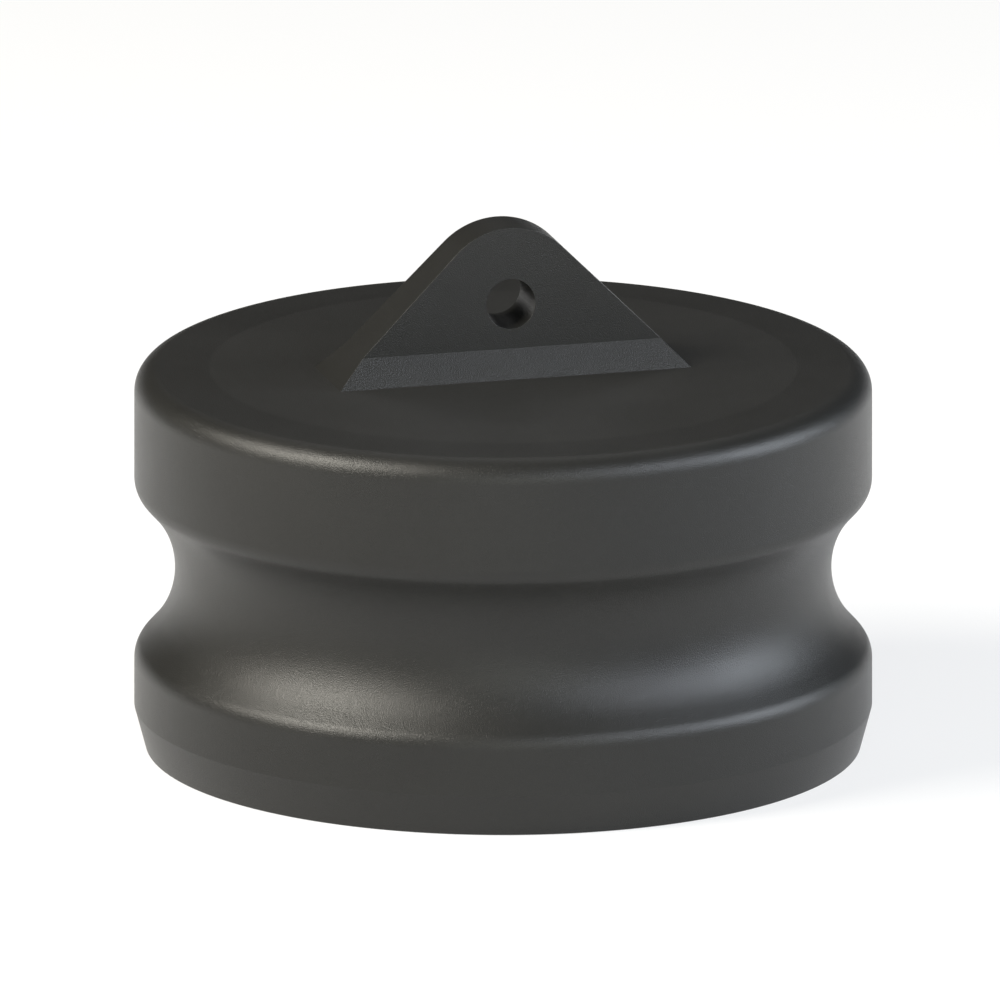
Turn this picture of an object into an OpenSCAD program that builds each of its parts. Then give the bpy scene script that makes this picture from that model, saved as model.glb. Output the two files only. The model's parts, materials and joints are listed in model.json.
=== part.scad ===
/* [Collar and nose] */
// Outside diameter of the collar and of the nose, which slides into the coupler
spigot_d = 119.5; // [117:0.5:140]
// Height from the nose's seal face to the middle of the crown
body_h = 63; // [58:0.5:90]
// Height of the lead-in taper above the seal face
lead_in_h = 6.9; // [2:0.1:10]
// Width that the lead-in taper takes off the nose at the seal face
lead_in_w = 1.85; // [0.5:0.05:4]
// Radius of the round shoulder between the collar and the crown
shoulder_r = 3.9; // [0.5:0.1:7]

/* [Cam groove] */
// Height of the middle of the groove above the seal face
groove_z = 29.6; // [26:0.1:32]
// Depth of the groove, below the wall of the collar and the nose
groove_depth = 6.6; // [5.5:0.1:8]
// Radius of the round bottom of the groove, where the coupler's cam arms press
groove_r = 16.5; // [13:0.1:18]
// Slope of the straight flanks of the groove, from level
flank_slope = 47.5; // [44:0.5:52]
// Radius of the rounded lips at the two edges of the groove
lip_r = 3.9; // [1:0.1:5]

/* [Crown] */
// Width of the rim round the flat disc, which falls slightly to the shoulder
rim_w = 8.2; // [5:0.1:20]
// Fall of the crown across that rim
rim_fall = 0.1; // [0.05:0.05:0.5]

/* [Hollow underside] */
// Thickness of the crown over the hollow
crown_t = 8; // [4:0.5:14]
// Thickness of the wall between the bottom of the groove and the hollow
wall_t = 5.5; // [3:0.25:12]
// Draft of the hollow's wall, from upright
core_draft = 1; // [0.5:0.25:2]
// Radius in the corner between the hollow's wall and its ceiling
ceiling_r = 5; // [1:0.5:10]
// Width of the bevel round the mouth of the hollow
mouth_bevel = 0.8; // [0.2:0.1:2]

/* [Lug] */
// Length of the lug along the crown, from one sloping end to the other
lug_l = 58.9; // [52:0.1:76]
// Slope of the lug's two ends, from level
lug_slope = 45; // [40:1:50]
// Radius of the lug's round top, about the middle of the hole
lug_r = 12.5; // [9:0.1:15]
// Thickness of the lug at the very top
lug_top_t = 7.8; // [5:0.1:10]
// Draft of the lug's two broad faces, from upright
lug_draft = 4; // [1:0.25:6]
// Width of the lug's splayed foot on the crown
foot_w = 16.2; // [14:0.1:24]
// Height of the splayed foot, up to the crease
foot_h = 4.5; // [2:0.1:6]
// Diameter of the hole for a chain or cable
hole_d = 8.2; // [4:0.1:12]

/* [Hidden] */
$fn = 180;

// Length by which a cutter runs on past the face that it cuts
over = 2;
// Depth to which the lug runs on inside the crown, so that the two are one solid
lug_root = 2;

spigot_r = spigot_d / 2;
waist_r = spigot_r - groove_depth;
rim_z = body_h - rim_fall;
shoulder_z = rim_z - shoulder_r;
shoulder_in_r = spigot_r - shoulder_r;

// The straight flank starts where the groove's round bottom reaches its slope
groove_centre_r = waist_r + groove_r;
flank_r = groove_centre_r - groove_r * sin(flank_slope);
flank_dz = groove_r * cos(flank_slope);
// It would cut the wall at this distance from the middle of the groove
edge_dz = flank_dz + (spigot_r - flank_r) * tan(flank_slope);
// The lip touches the wall and the flank
lip_centre_r = spigot_r - lip_r;
lip_centre_dz = edge_dz + lip_r * (1 / cos(flank_slope) - tan(flank_slope));
lip_touch_r = lip_centre_r + lip_r * sin(flank_slope);
lip_touch_dz = lip_centre_dz - lip_r * cos(flank_slope);

ceiling_z = body_h - crown_t;
// Radius of the hollow at height z, without the rounding of its corner
function core_wall_r(z) = waist_r - wall_t + (groove_z - z) * tan(core_draft);
// The corner's rounding touches the ceiling and the drafted wall
corner_z = ceiling_z - ceiling_r;
corner_r = core_wall_r(corner_z) - ceiling_r / cos(core_draft);

lug_half = lug_l / 2;
hole_h = lug_half * tan(lug_slope) - lug_r / cos(lug_slope);
lug_h = hole_h + lug_r;
// Half of the lug's thickness at height h above the crown, between its drafted faces
function lug_half_t(h) = lug_top_t / 2 + (lug_h - h) * tan(lug_draft);

// Half of the plug's section with the groove's flanks cut and its bottom still square
module outer_profile() {
    polygon([
        [0, 0],
        [spigot_r - lead_in_w, 0],
        [spigot_r, lead_in_h],
        [spigot_r, groove_z - lip_centre_dz],
        [lip_centre_r, groove_z - lip_centre_dz],
        [lip_touch_r, groove_z - lip_touch_dz],
        [flank_r, groove_z - flank_dz],
        [flank_r, groove_z + flank_dz],
        [lip_touch_r, groove_z + lip_touch_dz],
        [lip_centre_r, groove_z + lip_centre_dz],
        [spigot_r, groove_z + lip_centre_dz],
        [spigot_r, shoulder_z],
        [shoulder_in_r, shoulder_z],
        [shoulder_in_r, rim_z],
        [shoulder_in_r - rim_w, body_h],
        [0, body_h]
    ]);
    for (side = [-1, 1]) translate([lip_centre_r, groove_z + side * lip_centre_dz]) circle(lip_r);
    translate([shoulder_in_r, shoulder_z]) circle(shoulder_r);
}

// Half of the hollow's section
module core_profile() {
    polygon([
        [0, -over],
        [core_wall_r(0) + mouth_bevel + over, -over],
        [core_wall_r(mouth_bevel), mouth_bevel],
        [corner_r + ceiling_r * cos(core_draft), corner_z + ceiling_r * sin(core_draft)],
        [corner_r, corner_z],
        [corner_r, ceiling_z],
        [0, ceiling_z]
    ]);
    translate([corner_r, corner_z]) circle(ceiling_r);
}

module turned_body() {
    rotate_extrude() difference() {
        outer_profile();
        translate([groove_centre_r, groove_z]) circle(groove_r);
        core_profile();
    }
}

// The lug from its broad side: sloping ends under a round top
module lug_outline() {
    touch_x = lug_r * sin(lug_slope);
    touch_h = hole_h + lug_r * cos(lug_slope);
    polygon([
        [-lug_half, -lug_root],
        [lug_half, -lug_root],
        [lug_half, 0],
        [touch_x, touch_h],
        [-touch_x, touch_h],
        [-lug_half, 0]
    ]);
    translate([0, hole_h]) circle(lug_r);
}

// Half of the lug from its end: a drafted face that splays out below the crease
module lug_half_section() {
    polygon([
        [0, -lug_root],
        [foot_w / 2, -lug_root],
        [foot_w / 2, 0],
        [lug_half_t(foot_h), foot_h],
        [lug_half_t(lug_h), lug_h],
        [0, lug_h]
    ]);
}

module lug() {
    through = foot_w + 2 * over;
    difference() {
        intersection() {
            rotate([90, 0, 0]) linear_extrude(through, center = true) lug_outline();
            rotate([90, 0, 90]) linear_extrude(lug_l + 2 * over, center = true)
                for (side = [0, 1]) mirror([side, 0]) lug_half_section();
        }
        translate([0, 0, hole_h]) rotate([90, 0, 0]) cylinder(h = through, d = hole_d, center = true);
    }
}

module plug_body() {
    color([0.13, 0.13, 0.13]) {
        turned_body();
        translate([0, 0, body_h]) lug();
    }
}

plug_body();
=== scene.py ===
import json
from math import atan2, cos, pi, radians, sin, tan

import bmesh
import bpy
from mathutils import Matrix, Vector

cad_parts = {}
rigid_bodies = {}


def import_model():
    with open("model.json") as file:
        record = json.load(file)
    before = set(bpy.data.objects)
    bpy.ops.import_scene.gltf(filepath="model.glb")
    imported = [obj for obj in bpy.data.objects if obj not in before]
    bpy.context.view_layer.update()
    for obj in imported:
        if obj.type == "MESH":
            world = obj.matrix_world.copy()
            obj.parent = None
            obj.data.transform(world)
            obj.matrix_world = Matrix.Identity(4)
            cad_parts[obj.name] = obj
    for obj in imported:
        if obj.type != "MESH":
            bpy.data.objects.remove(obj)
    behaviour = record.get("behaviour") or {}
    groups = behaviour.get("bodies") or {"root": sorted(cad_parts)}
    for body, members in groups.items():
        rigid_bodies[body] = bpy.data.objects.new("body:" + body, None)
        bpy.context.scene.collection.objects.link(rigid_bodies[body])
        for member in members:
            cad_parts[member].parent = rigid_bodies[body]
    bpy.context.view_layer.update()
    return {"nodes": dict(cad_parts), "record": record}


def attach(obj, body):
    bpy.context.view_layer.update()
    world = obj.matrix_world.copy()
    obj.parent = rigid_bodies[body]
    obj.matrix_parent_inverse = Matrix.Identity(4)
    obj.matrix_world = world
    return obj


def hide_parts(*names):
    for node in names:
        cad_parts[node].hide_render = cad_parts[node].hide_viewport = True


# Coupling dust plug: one moulded piece of black polypropylene, turned but for the lug on its crown.
# Blender works in metres, and the sizes in the dictionaries are in millimetres unless they say otherwise.

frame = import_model()
mm = 0.001
mounts = {mount["name"]: mount for mount in frame["record"]["mounts"]}
bpy.context.scene.view_settings.view_transform = "Standard"
print("frame loaded:", sorted(frame["nodes"]))


# Helpers

def linearColour(hexText):
    channels = [int(hexText[i:i + 2], 16) / 255 for i in (1, 3, 5)]
    return [c / 12.92 if c <= 0.04045 else ((c + 0.055) / 1.055) ** 2.4 for c in channels] + [1.0]


def addNode(tree, kind, settings, inputs):
    node = tree.nodes.new(kind)
    for name, value in settings.items():
        setattr(node, name, value)
    for key, value in inputs.items():
        if isinstance(value, bpy.types.NodeSocket):
            tree.links.new(value, node.inputs[key])
        else:
            node.inputs[key].default_value = value
    return node


def addObject(name, data):
    made = bpy.data.objects.new(name, data)
    bpy.context.scene.collection.objects.link(made)
    return made


def bakedMesh(piece):
    # The evaluated shape as a plain mesh, with the modifiers that made it taken off
    evaluated = piece.evaluated_get(bpy.context.evaluated_depsgraph_get())
    baked = bpy.data.meshes.new_from_object(evaluated)
    piece.modifiers.clear()
    return baked


# Material

plastic = {
    "dark": "#1e1e1d",          # the pigment is carbon black, so the plastic is nearly neutral
    "light": "#232322",
    "discPaintedShadeDark": "#222221",      # painted shading: the disc of the crown is painted a shade paler than the rim round it, copying the darker shading on the rim
    "discPaintedShadeLight": "#272726",
    "discR": 47.65,             # where the rim starts, as in the turned body below
    "discZ": 63.0,
    "discZone": 0.03,           # how far from that height a point still counts as the disc
    "roughness": 0.35,
    "roughnessSpread": 0.05,
    "ior": 1.49,                # polypropylene
    "specularLevel": 0.32,      # under the plain 0.5, matched with the roughness to the real sheen
    "cloudSize": 18.0,          # width of the faint clouds that the flow of the melt leaves
    "cloudDetail": 3.0,
    "grainSize": 0.16,          # really 0.05 to 0.1, and drawn as wide as a pixel so that it shows
    "grainDetail": 1.0,
    "grainDepth": 0.06,
    "wavesSize": 3.0,           # width of the slow unevenness under the grain
    "wavesDetail": 1.0,
    "wavesDepth": 0.006,
}


def makeMouldedPolypropylene():
    # Black polypropylene from a spark-eroded mould: a broad satin sheen, with fine sparkle from the grain
    made = bpy.data.materials.new("mouldedBlackPolypropylene")
    made.use_nodes = True
    tree = made.node_tree
    tree.nodes.clear()
    place = addNode(tree, "ShaderNodeTexCoord", {}, {}).outputs["Object"]

    def noise(sizeMm, detail):
        inputs = {"Vector": place, "Scale": 1 / (sizeMm * mm), "Detail": detail}
        return addNode(tree, "ShaderNodeTexNoise", {}, inputs).outputs["Fac"]

    clouds = noise(plastic["cloudSize"], plastic["cloudDetail"])
    grain = noise(plastic["grainSize"], plastic["grainDetail"])
    waves = noise(plastic["wavesSize"], plastic["wavesDetail"])
    parts = addNode(tree, "ShaderNodeSeparateXYZ", {}, {"Vector": place}).outputs
    flat = addNode(tree, "ShaderNodeCombineXYZ", {}, {"X": parts["X"], "Y": parts["Y"]}).outputs["Vector"]
    reach = addNode(tree, "ShaderNodeVectorMath", {"operation": "LENGTH"}, {0: flat}).outputs["Value"]
    within = addNode(tree, "ShaderNodeMath", {"operation": "LESS_THAN"}, {0: reach, 1: plastic["discR"] * mm})
    level = addNode(tree, "ShaderNodeMath", {"operation": "COMPARE"}, {
        0: parts["Z"], 1: plastic["discZ"] * mm, 2: plastic["discZone"] * mm,
    })
    paintedShadeDiscMask = addNode(tree, "ShaderNodeMath", {"operation": "MULTIPLY"}, {
        0: within.outputs[0], 1: level.outputs[0],
    })

    def tint(factor, first, second):
        inputs = {"Factor": factor, "A": first, "B": second}
        return addNode(tree, "ShaderNodeMix", {"data_type": "RGBA"}, inputs).outputs["Result"]

    allOver = tint(clouds, linearColour(plastic["dark"]), linearColour(plastic["light"]))
    discPaintedShade = tint(clouds, linearColour(plastic["discPaintedShadeDark"]), linearColour(plastic["discPaintedShadeLight"]))
    # painted shade: the disc of the crown gets a paler colour than the rim round it, copying the shading step
    # between them
    colour = tint(paintedShadeDiscMask.outputs[0], allOver, discPaintedShade)
    roughness = addNode(tree, "ShaderNodeMapRange", {}, {
        "Value": clouds,
        "To Min": plastic["roughness"] - plastic["roughnessSpread"],
        "To Max": plastic["roughness"] + plastic["roughnessSpread"],
    })
    waveBump = addNode(tree, "ShaderNodeBump", {}, {
        "Height": waves,
        "Distance": plastic["wavesDepth"] * mm,
    })
    grainBump = addNode(tree, "ShaderNodeBump", {}, {
        "Height": grain,
        "Distance": plastic["grainDepth"] * mm,
        "Normal": waveBump.outputs["Normal"],
    })
    shader = addNode(tree, "ShaderNodeBsdfPrincipled", {}, {
        "Base Color": colour,
        "Roughness": roughness.outputs["Result"],
        "IOR": plastic["ior"],
        "Specular IOR Level": plastic["specularLevel"],
        "Normal": grainBump.outputs["Normal"],
    })
    addNode(tree, "ShaderNodeOutputMaterial", {}, {"Surface": shader.outputs["BSDF"]})
    return made


polypropylene = makeMouldedPolypropylene()
print("material made:", polypropylene.name)


# Turned body: collar, cam groove, nose and hollow, from one half section

body = {
    "crownZ": 63.0,         # the flat disc of the crown
    "rimFall": 0.1,         # what the rim round the disc falls to the shoulder
    "rimWidth": 8.2,
    "shoulderR": 3.9,
    "grooveDepth": 6.6,
    "grooveR": 16.5,
    "flankSlope": 47.5,     # degrees from level
    "lipR": 3.9,
    "leadInH": 6.9,
    "leadInW": 1.85,
    "crownThickness": 8.0,
    "wallThickness": 5.5,
    "hollowDraft": 1.0,     # degrees
    "ceilingR": 5.0,
    "mouthBevel": 0.8,
    "creaseR": 0.5,         # the worn mould's radius at the top of the lead-in taper
    "edgeR": 0.25,          # radius of the moulded edges at the seal face
    "discMargin": 1.0,      # ring of the disc that is turned, and that holds its shading flat
    "discHold": 0.125,      # width of its outermost strip
    "turnSegments": 288,
    "arcStep": 4.0,         # degrees of an arc between two points
    "weld": 0.001,
}


def bodyCorners():
    # Corners of the half section, each with the radius that rounds it, from the disc out, down and in
    outerR = mounts["nose"]["dims"]["r_mm"]
    grooveZ = mounts["cam_groove"]["pos_m"][2] / mm
    flank = radians(body["flankSlope"])
    waistR = outerR - body["grooveDepth"]
    apexR = waistR + body["grooveR"] - body["grooveR"] / sin(flank)
    flankH = (outerR - apexR) * tan(flank)
    discR = outerR - body["shoulderR"] - body["rimWidth"]
    rimSlope = body["rimFall"] / body["rimWidth"]
    ceilingZ = body["crownZ"] - body["crownThickness"]

    def hollowR(z):
        return waistR - body["wallThickness"] + (grooveZ - z) * tan(radians(body["hollowDraft"]))

    return [
        (discR - body["discMargin"], body["crownZ"], 0),
        (discR - body["discHold"], body["crownZ"], 0),
        (discR, body["crownZ"], 0),
        (outerR, body["crownZ"] - rimSlope * (outerR - discR), body["shoulderR"]),
        (outerR, grooveZ + flankH, body["lipR"]),
        (apexR, grooveZ, body["grooveR"]),
        (outerR, grooveZ - flankH, body["lipR"]),
        (outerR, body["leadInH"], body["creaseR"]),
        (outerR - body["leadInW"], 0, body["edgeR"]),
        (hollowR(0) + body["mouthBevel"], 0, body["edgeR"]),
        (hollowR(body["mouthBevel"]), body["mouthBevel"], body["edgeR"]),
        (hollowR(ceilingZ), ceilingZ, body["ceilingR"]),
        (0, ceilingZ, 0),
    ]


def turnAngle(before, corner, after):
    # How far the line turns at a corner, in degrees
    inward = Vector((corner[0] - before[0], corner[1] - before[1]))
    outward = Vector((after[0] - corner[0], after[1] - corner[1]))
    return inward.angle(outward) / radians(1)


def makeTurningTree():
    # Rounds the corners of a section and turns it about the Z axis
    tree = bpy.data.node_groups.new("turnSection", "GeometryNodeTree")
    face = tree.interface
    for name, kind in (
        ("Section", "NodeSocketGeometry"),
        ("Turn Segments", "NodeSocketInt"),
        ("Turn Radius", "NodeSocketFloat"),
        ("Weld Distance", "NodeSocketFloat"),
        ("Finish", "NodeSocketMaterial"),
    ):
        face.new_socket(name, in_out="INPUT", socket_type=kind)
    face.new_socket("Turned", in_out="OUTPUT", socket_type="NodeSocketGeometry")
    given = addNode(tree, "NodeGroupInput", {}, {}).outputs
    line = addNode(tree, "GeometryNodeMeshToCurve", {}, {"Mesh": given["Section"]})
    radius = addNode(tree, "GeometryNodeInputNamedAttribute", {"data_type": "FLOAT"}, {"Name": "cornerR"})
    count = addNode(tree, "GeometryNodeInputNamedAttribute", {"data_type": "INT"}, {"Name": "arcPoints"})
    rounded = addNode(tree, "GeometryNodeFilletCurve", {"mode": "POLY"}, {
        "Curve": line.outputs["Curve"],
        "Radius": radius.outputs["Attribute"],
        "Count": count.outputs["Attribute"],
    })
    path = addNode(tree, "GeometryNodeCurvePrimitiveCircle", {"mode": "RADIUS"}, {
        "Resolution": given["Turn Segments"],
        "Radius": given["Turn Radius"],
    })
    turned = addNode(tree, "GeometryNodeCurveToMesh", {}, {
        "Curve": path.outputs["Curve"],
        "Profile Curve": rounded.outputs["Curve"],
    })
    welded = addNode(tree, "GeometryNodeMergeByDistance", {}, {
        "Geometry": turned.outputs["Mesh"],
        "Distance": given["Weld Distance"],
    })
    real = addNode(tree, "GeometryNodeRealizeInstances", {}, {"Geometry": welded.outputs["Geometry"]})
    finished = addNode(tree, "GeometryNodeSetMaterial", {}, {
        "Geometry": real.outputs["Geometry"],
        "Material": given["Finish"],
    })
    addNode(tree, "NodeGroupOutput", {}, {"Turned": finished.outputs["Geometry"]})
    return tree


def makeTurnedBody():
    corners = bodyCorners()
    turnR = corners[0][0]
    section = bpy.data.meshes.new("section")
    points = [Vector((r - turnR, -z, 0)) * mm for r, z, _ in corners]   # on this circle, Y points down
    section.from_pydata(points, [(i, i + 1) for i in range(len(points) - 1)], [])
    radii = section.attributes.new("cornerR", "FLOAT", "POINT")
    counts = section.attributes.new("arcPoints", "INT", "POINT")
    for i, (r, z, cornerR) in enumerate(corners):
        radii.data[i].value = cornerR * mm
        rounds = cornerR > 0 and 0 < i < len(corners) - 1
        turn = turnAngle(corners[i - 1], corners[i], corners[i + 1]) if rounds else 0
        counts.data[i].value = max(1, round(turn / body["arcStep"]))
    maker = addObject("turnedBody", section)
    tree = makeTurningTree()
    settings = {
        "Turn Segments": body["turnSegments"],
        "Turn Radius": turnR * mm,
        "Weld Distance": body["weld"] * mm,
        "Finish": polypropylene,
    }
    modifier = maker.modifiers.new("turn", "NODES")
    modifier.node_group = tree
    for item in tree.interface.items_tree:
        if item.in_out == "INPUT" and item.name in settings:
            modifier[item.identifier] = settings[item.name]
    turned = bakedMesh(maker)
    bpy.data.objects.remove(maker)
    return turned


# Lug: sloping ends under a round top, drafted faces that splay out at the foot

lug = {
    "length": 58.9,
    "slope": 45.0,          # degrees from level
    "topR": 12.5,
    "topThickness": 7.8,
    "draft": 4.0,           # degrees from upright
    "footWidth": 16.2,
    "footH": 4.5,           # up to the crease
    "topSteps": 32,         # even, so that a point stands at the very top
    "holeSteps": 64,        # a multiple of 8, so that points stand at the corners of the faces round it
    "edgeR": 0.05,          # nearly sharp, as the real edges show no bright line
    "edgeSteps": 3,
    "bevelledFrom": 40.0,   # degrees: edges that turn more than this, outwards, get the edge radius
}


def addLugFace(shape, side):
    # One broad face of the lug, drafted and splayed; side is -1 at the front and 1 at the back
    slope = radians(lug["slope"])
    halfLength = lug["length"] / 2
    holeH = halfLength * tan(slope) - lug["topR"] / cos(slope)
    holeR = mounts["lug_hole"]["dims"]["r_mm"]
    holeCount = lug["holeSteps"]

    def point(x, h):
        halfThickness = lug["topThickness"] / 2 + (holeH + lug["topR"] - h) * tan(radians(lug["draft"]))
        y = lug["footWidth"] / 2 if h == 0 else halfThickness
        return shape.verts.new(Vector((x, side * y, body["crownZ"] + h)) * mm)

    def onCircle(r, angle):
        return point(r * cos(angle), holeH + r * sin(angle))

    creaseX = halfLength - lug["footH"] / tan(slope)
    made = {
        "left": [point(-halfLength, 0), point(-creaseX, lug["footH"])],
        "right": [point(halfLength, 0), point(creaseX, lug["footH"])],
        "arc": [onCircle(lug["topR"], pi / 2 + slope * (1 - 2 * i / lug["topSteps"]))
                for i in range(lug["topSteps"] + 1)],
        "hole": [onCircle(holeR, pi / 2 + 2 * pi * i / holeCount) for i in range(holeCount)],
    }
    left, right, arc, hole = made["left"], made["right"], made["arc"], made["hole"]
    lowLeft, lowRight = holeCount * 3 // 8, holeCount * 5 // 8
    middle = lug["topSteps"] // 2
    shape.faces.new((left[0], right[0], right[1], left[1]))
    shape.faces.new([left[1], right[1]] + hole[lowLeft:lowRight + 1][::-1])
    shape.faces.new([left[1]] + hole[:lowLeft + 1][::-1] + arc[:middle + 1][::-1])
    shape.faces.new([right[1]] + arc[middle:][::-1] + [hole[0]] + hole[lowRight:][::-1])
    return made


def addLug(shape):
    # Adds the lug to the open crown, smooth only where it is round, and returns the corners of its foot
    front, back = addLugFace(shape, -1), addLugFace(shape, 1)
    for end, touch in (("left", 0), ("right", -1)):
        shape.faces.new(front[end] + [front["arc"][touch], back["arc"][touch]] + back[end][::-1])
    for i in range(lug["topSteps"]):
        strip = (front["arc"][i], front["arc"][i + 1], back["arc"][i + 1], back["arc"][i])
        shape.faces.new(strip).smooth = True
    for i in range(lug["holeSteps"]):
        k = (i + 1) % lug["holeSteps"]
        strip = (front["hole"][i], front["hole"][k], back["hole"][k], back["hole"][i])
        shape.faces.new(strip).smooth = True
    return [front["right"][0], back["right"][0], back["left"][0], front["left"][0]]


def addDisc(shape, footCorners):
    # Fills the flat of the crown between the turned ring and the lug's foot
    ring = [v for e in shape.edges if e.is_boundary for v in e.verts]
    ring = [v for v in set(ring) if v not in footCorners]
    ring.sort(key=lambda v: atan2(v.co.y, v.co.x) % (2 * pi))
    angles = [atan2(v.co.y, v.co.x) % (2 * pi) for v in ring]
    nearest = []
    for corner in footCorners:
        a = atan2(corner.co.y, corner.co.x) % (2 * pi)
        nearest.append(min(range(len(ring)), key=lambda i: abs((angles[i] - a + pi) % (2 * pi) - pi)))
    for i, start in enumerate(nearest):
        k = (i + 1) % len(nearest)
        count = (nearest[k] - start) % len(ring)
        rim = [ring[(start + step) % len(ring)] for step in range(count + 1)]
        shape.faces.new([footCorners[i]] + rim + [footCorners[k]])


def makePlug():
    shape = bmesh.new()
    shape.from_mesh(makeTurnedBody())
    print("turned body:", len(shape.faces), "faces")
    for face in shape.faces:
        face.smooth = True
    footCorners = addLug(shape)
    addDisc(shape, footCorners)
    bmesh.ops.recalc_face_normals(shape, faces=shape.faces)
    weights = shape.edges.layers.float.new("bevel_weight_edge")
    for edge in shape.edges:
        if min(v.co.z for v in edge.verts) < (body["crownZ"] - body["weld"]) * mm or edge.is_boundary:
            continue
        turn = edge.calc_face_angle_signed() / radians(1)
        edge[weights] = 1.0 if turn > lug["bevelledFrom"] else 0.0
    loose = [e for e in shape.edges if not e.is_manifold]
    print("plug: open edges", len(loose))
    data = bpy.data.meshes.new("plugShell")
    shape.to_mesh(data)
    shape.free()
    maker = addObject("plugShell", data)
    bevel = maker.modifiers.new("edges", "BEVEL")
    bevel.limit_method = "WEIGHT"
    bevel.width = lug["edgeR"] * mm
    bevel.segments = lug["edgeSteps"]
    normals = maker.modifiers.new("normals", "WEIGHTED_NORMAL")
    normals.keep_sharp = True
    piece = addObject("dustPlug", bakedMesh(maker))
    bpy.data.objects.remove(maker)
    piece.data.materials.clear()
    piece.data.materials.append(polypropylene)
    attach(piece, "root")
    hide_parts("plug_body")
    print("plug made:", len(piece.data.polygons), "faces")


makePlug()


# Stage

stage = {
    "floorR": 4.0,              # metres
    "floorSegments": 96,
    "floorDrop": 0.05,          # mm under the seal face, so that the two flats don't share a plane
    "floorColour": "#eeeeee",
    "shadowShare": 0.35,        # how much of the floor's look is lit, and so shows the shadow
    "worldColour": "#ffffff",
    "worldStrength": 0.02,
}


def makeFloor():
    made = bpy.data.materials.new("whiteStudioPaper")
    made.use_nodes = True
    tree = made.node_tree
    tree.nodes.clear()
    rays = addNode(tree, "ShaderNodeLightPath", {}, {}).outputs
    cameraOrGloss = addNode(tree, "ShaderNodeMath", {"operation": "MAXIMUM"}, {
        0: rays["Is Camera Ray"], 1: rays["Is Glossy Ray"],
    })
    seen = addNode(tree, "ShaderNodeMath", {"operation": "MAXIMUM"}, {
        0: cameraOrGloss.outputs[0], 1: rays["Is Transmission Ray"],
    })
    share = addNode(tree, "ShaderNodeMath", {"operation": "MULTIPLY"}, {
        0: seen.outputs[0], 1: 1 - stage["shadowShare"],
    })
    lit = addNode(tree, "ShaderNodeBsdfDiffuse", {}, {"Color": linearColour(stage["floorColour"])})
    white = addNode(tree, "ShaderNodeEmission", {}, {"Color": (1, 1, 1, 1), "Strength": 1.0})
    mixed = addNode(tree, "ShaderNodeMixShader", {}, {
        0: share.outputs[0], 1: lit.outputs["BSDF"], 2: white.outputs["Emission"],
    })
    addNode(tree, "ShaderNodeOutputMaterial", {}, {"Surface": mixed.outputs["Shader"]})
    shape = bmesh.new()
    sunk = Matrix.Translation((0, 0, -stage["floorDrop"] * mm))
    bmesh.ops.create_circle(
        shape, cap_ends=True, segments=stage["floorSegments"], radius=stage["floorR"], matrix=sunk,
    )
    data = bpy.data.meshes.new("studioFloor")
    shape.to_mesh(data)
    shape.free()
    data.materials.append(made)
    floor = addObject("studioFloor", data)


def makeWorld():
    world = bpy.data.worlds.new("studioRoom")
    world.use_nodes = True
    background = world.node_tree.nodes["Background"]
    background.inputs["Color"].default_value = linearColour(stage["worldColour"])
    background.inputs["Strength"].default_value = stage["worldStrength"]
    bpy.context.scene.world = world


# Each lamp aims at the middle of the plug. Azimuth counts from the camera, to its right, in degrees.
lamps = {
    "warmLeft": {"azimuth": -70, "elevation": 39, "size": (0.65, 0.45), "power": 20.5, "colour": "#fffaee"},
    "coolRight": {"azimuth": 93, "elevation": 18, "size": (0.4, 0.3), "power": 7.9, "colour": "#eef6ff"},
    "coolMiddle": {"azimuth": 60, "elevation": 30, "size": (0.4, 0.3), "power": 4.7, "colour": "#eef4ff"},
    "coolFront": {"azimuth": 34, "elevation": 29, "size": (0.3, 0.25), "power": 2.2, "colour": "#f2f8ff"},
    "softFront": {"azimuth": 4, "elevation": 14, "size": (0.6, 0.25), "power": 2.3, "colour": "#fdfff6"},
    "softBack": {"azimuth": 180, "elevation": 52, "size": (0.5, 0.5), "power": 0.66, "colour": "#ffffff"},
}
lampDistance = 1.0

camera = {
    "azimuth": -15.0,
    "elevation": 15.0,
    "distance": 1.0,
    "frameWidth": 0.16193,      # metres across the picture
    "middle": (-0.518, 40.70),  # what is at the middle of the picture: mm to the right of the axis, mm up
}


def direction(azimuth, elevation):
    a, e = radians(azimuth), radians(elevation)
    return Vector((sin(a) * cos(e), -cos(a) * cos(e), sin(e)))


def makeLamps():
    middle = Vector((0, 0, camera["middle"][1] * mm))
    for name, sizes in lamps.items():
        light = bpy.data.lights.new(name, "AREA")
        light.shape = "RECTANGLE"
        light.size, light.size_y = sizes["size"]
        light.energy = sizes["power"]
        light.color = linearColour(sizes["colour"])[:3]
        lamp = addObject(name, light)
        toLamp = direction(camera["azimuth"] + sizes["azimuth"], sizes["elevation"])
        lamp.location = middle + toLamp * lampDistance
        lamp.rotation_euler = toLamp.to_track_quat("Z", "Y").to_euler()


def makeCamera():
    data = bpy.data.cameras.new("camera")
    data.type = "ORTHO"
    data.ortho_scale = camera["frameWidth"]
    made = addObject("camera", data)
    toCamera = direction(camera["azimuth"], camera["elevation"])
    a = radians(camera["azimuth"])
    right = Vector((cos(a), sin(a), 0))
    target = right * camera["middle"][0] * mm + Vector((0, 0, camera["middle"][1] * mm))
    made.location = target + toCamera * camera["distance"]
    made.rotation_euler = toCamera.to_track_quat("Z", "Y").to_euler()
    bpy.context.scene.camera = made


makeFloor()
makeWorld()
makeLamps()
makeCamera()
print("stage, lamps and camera made")
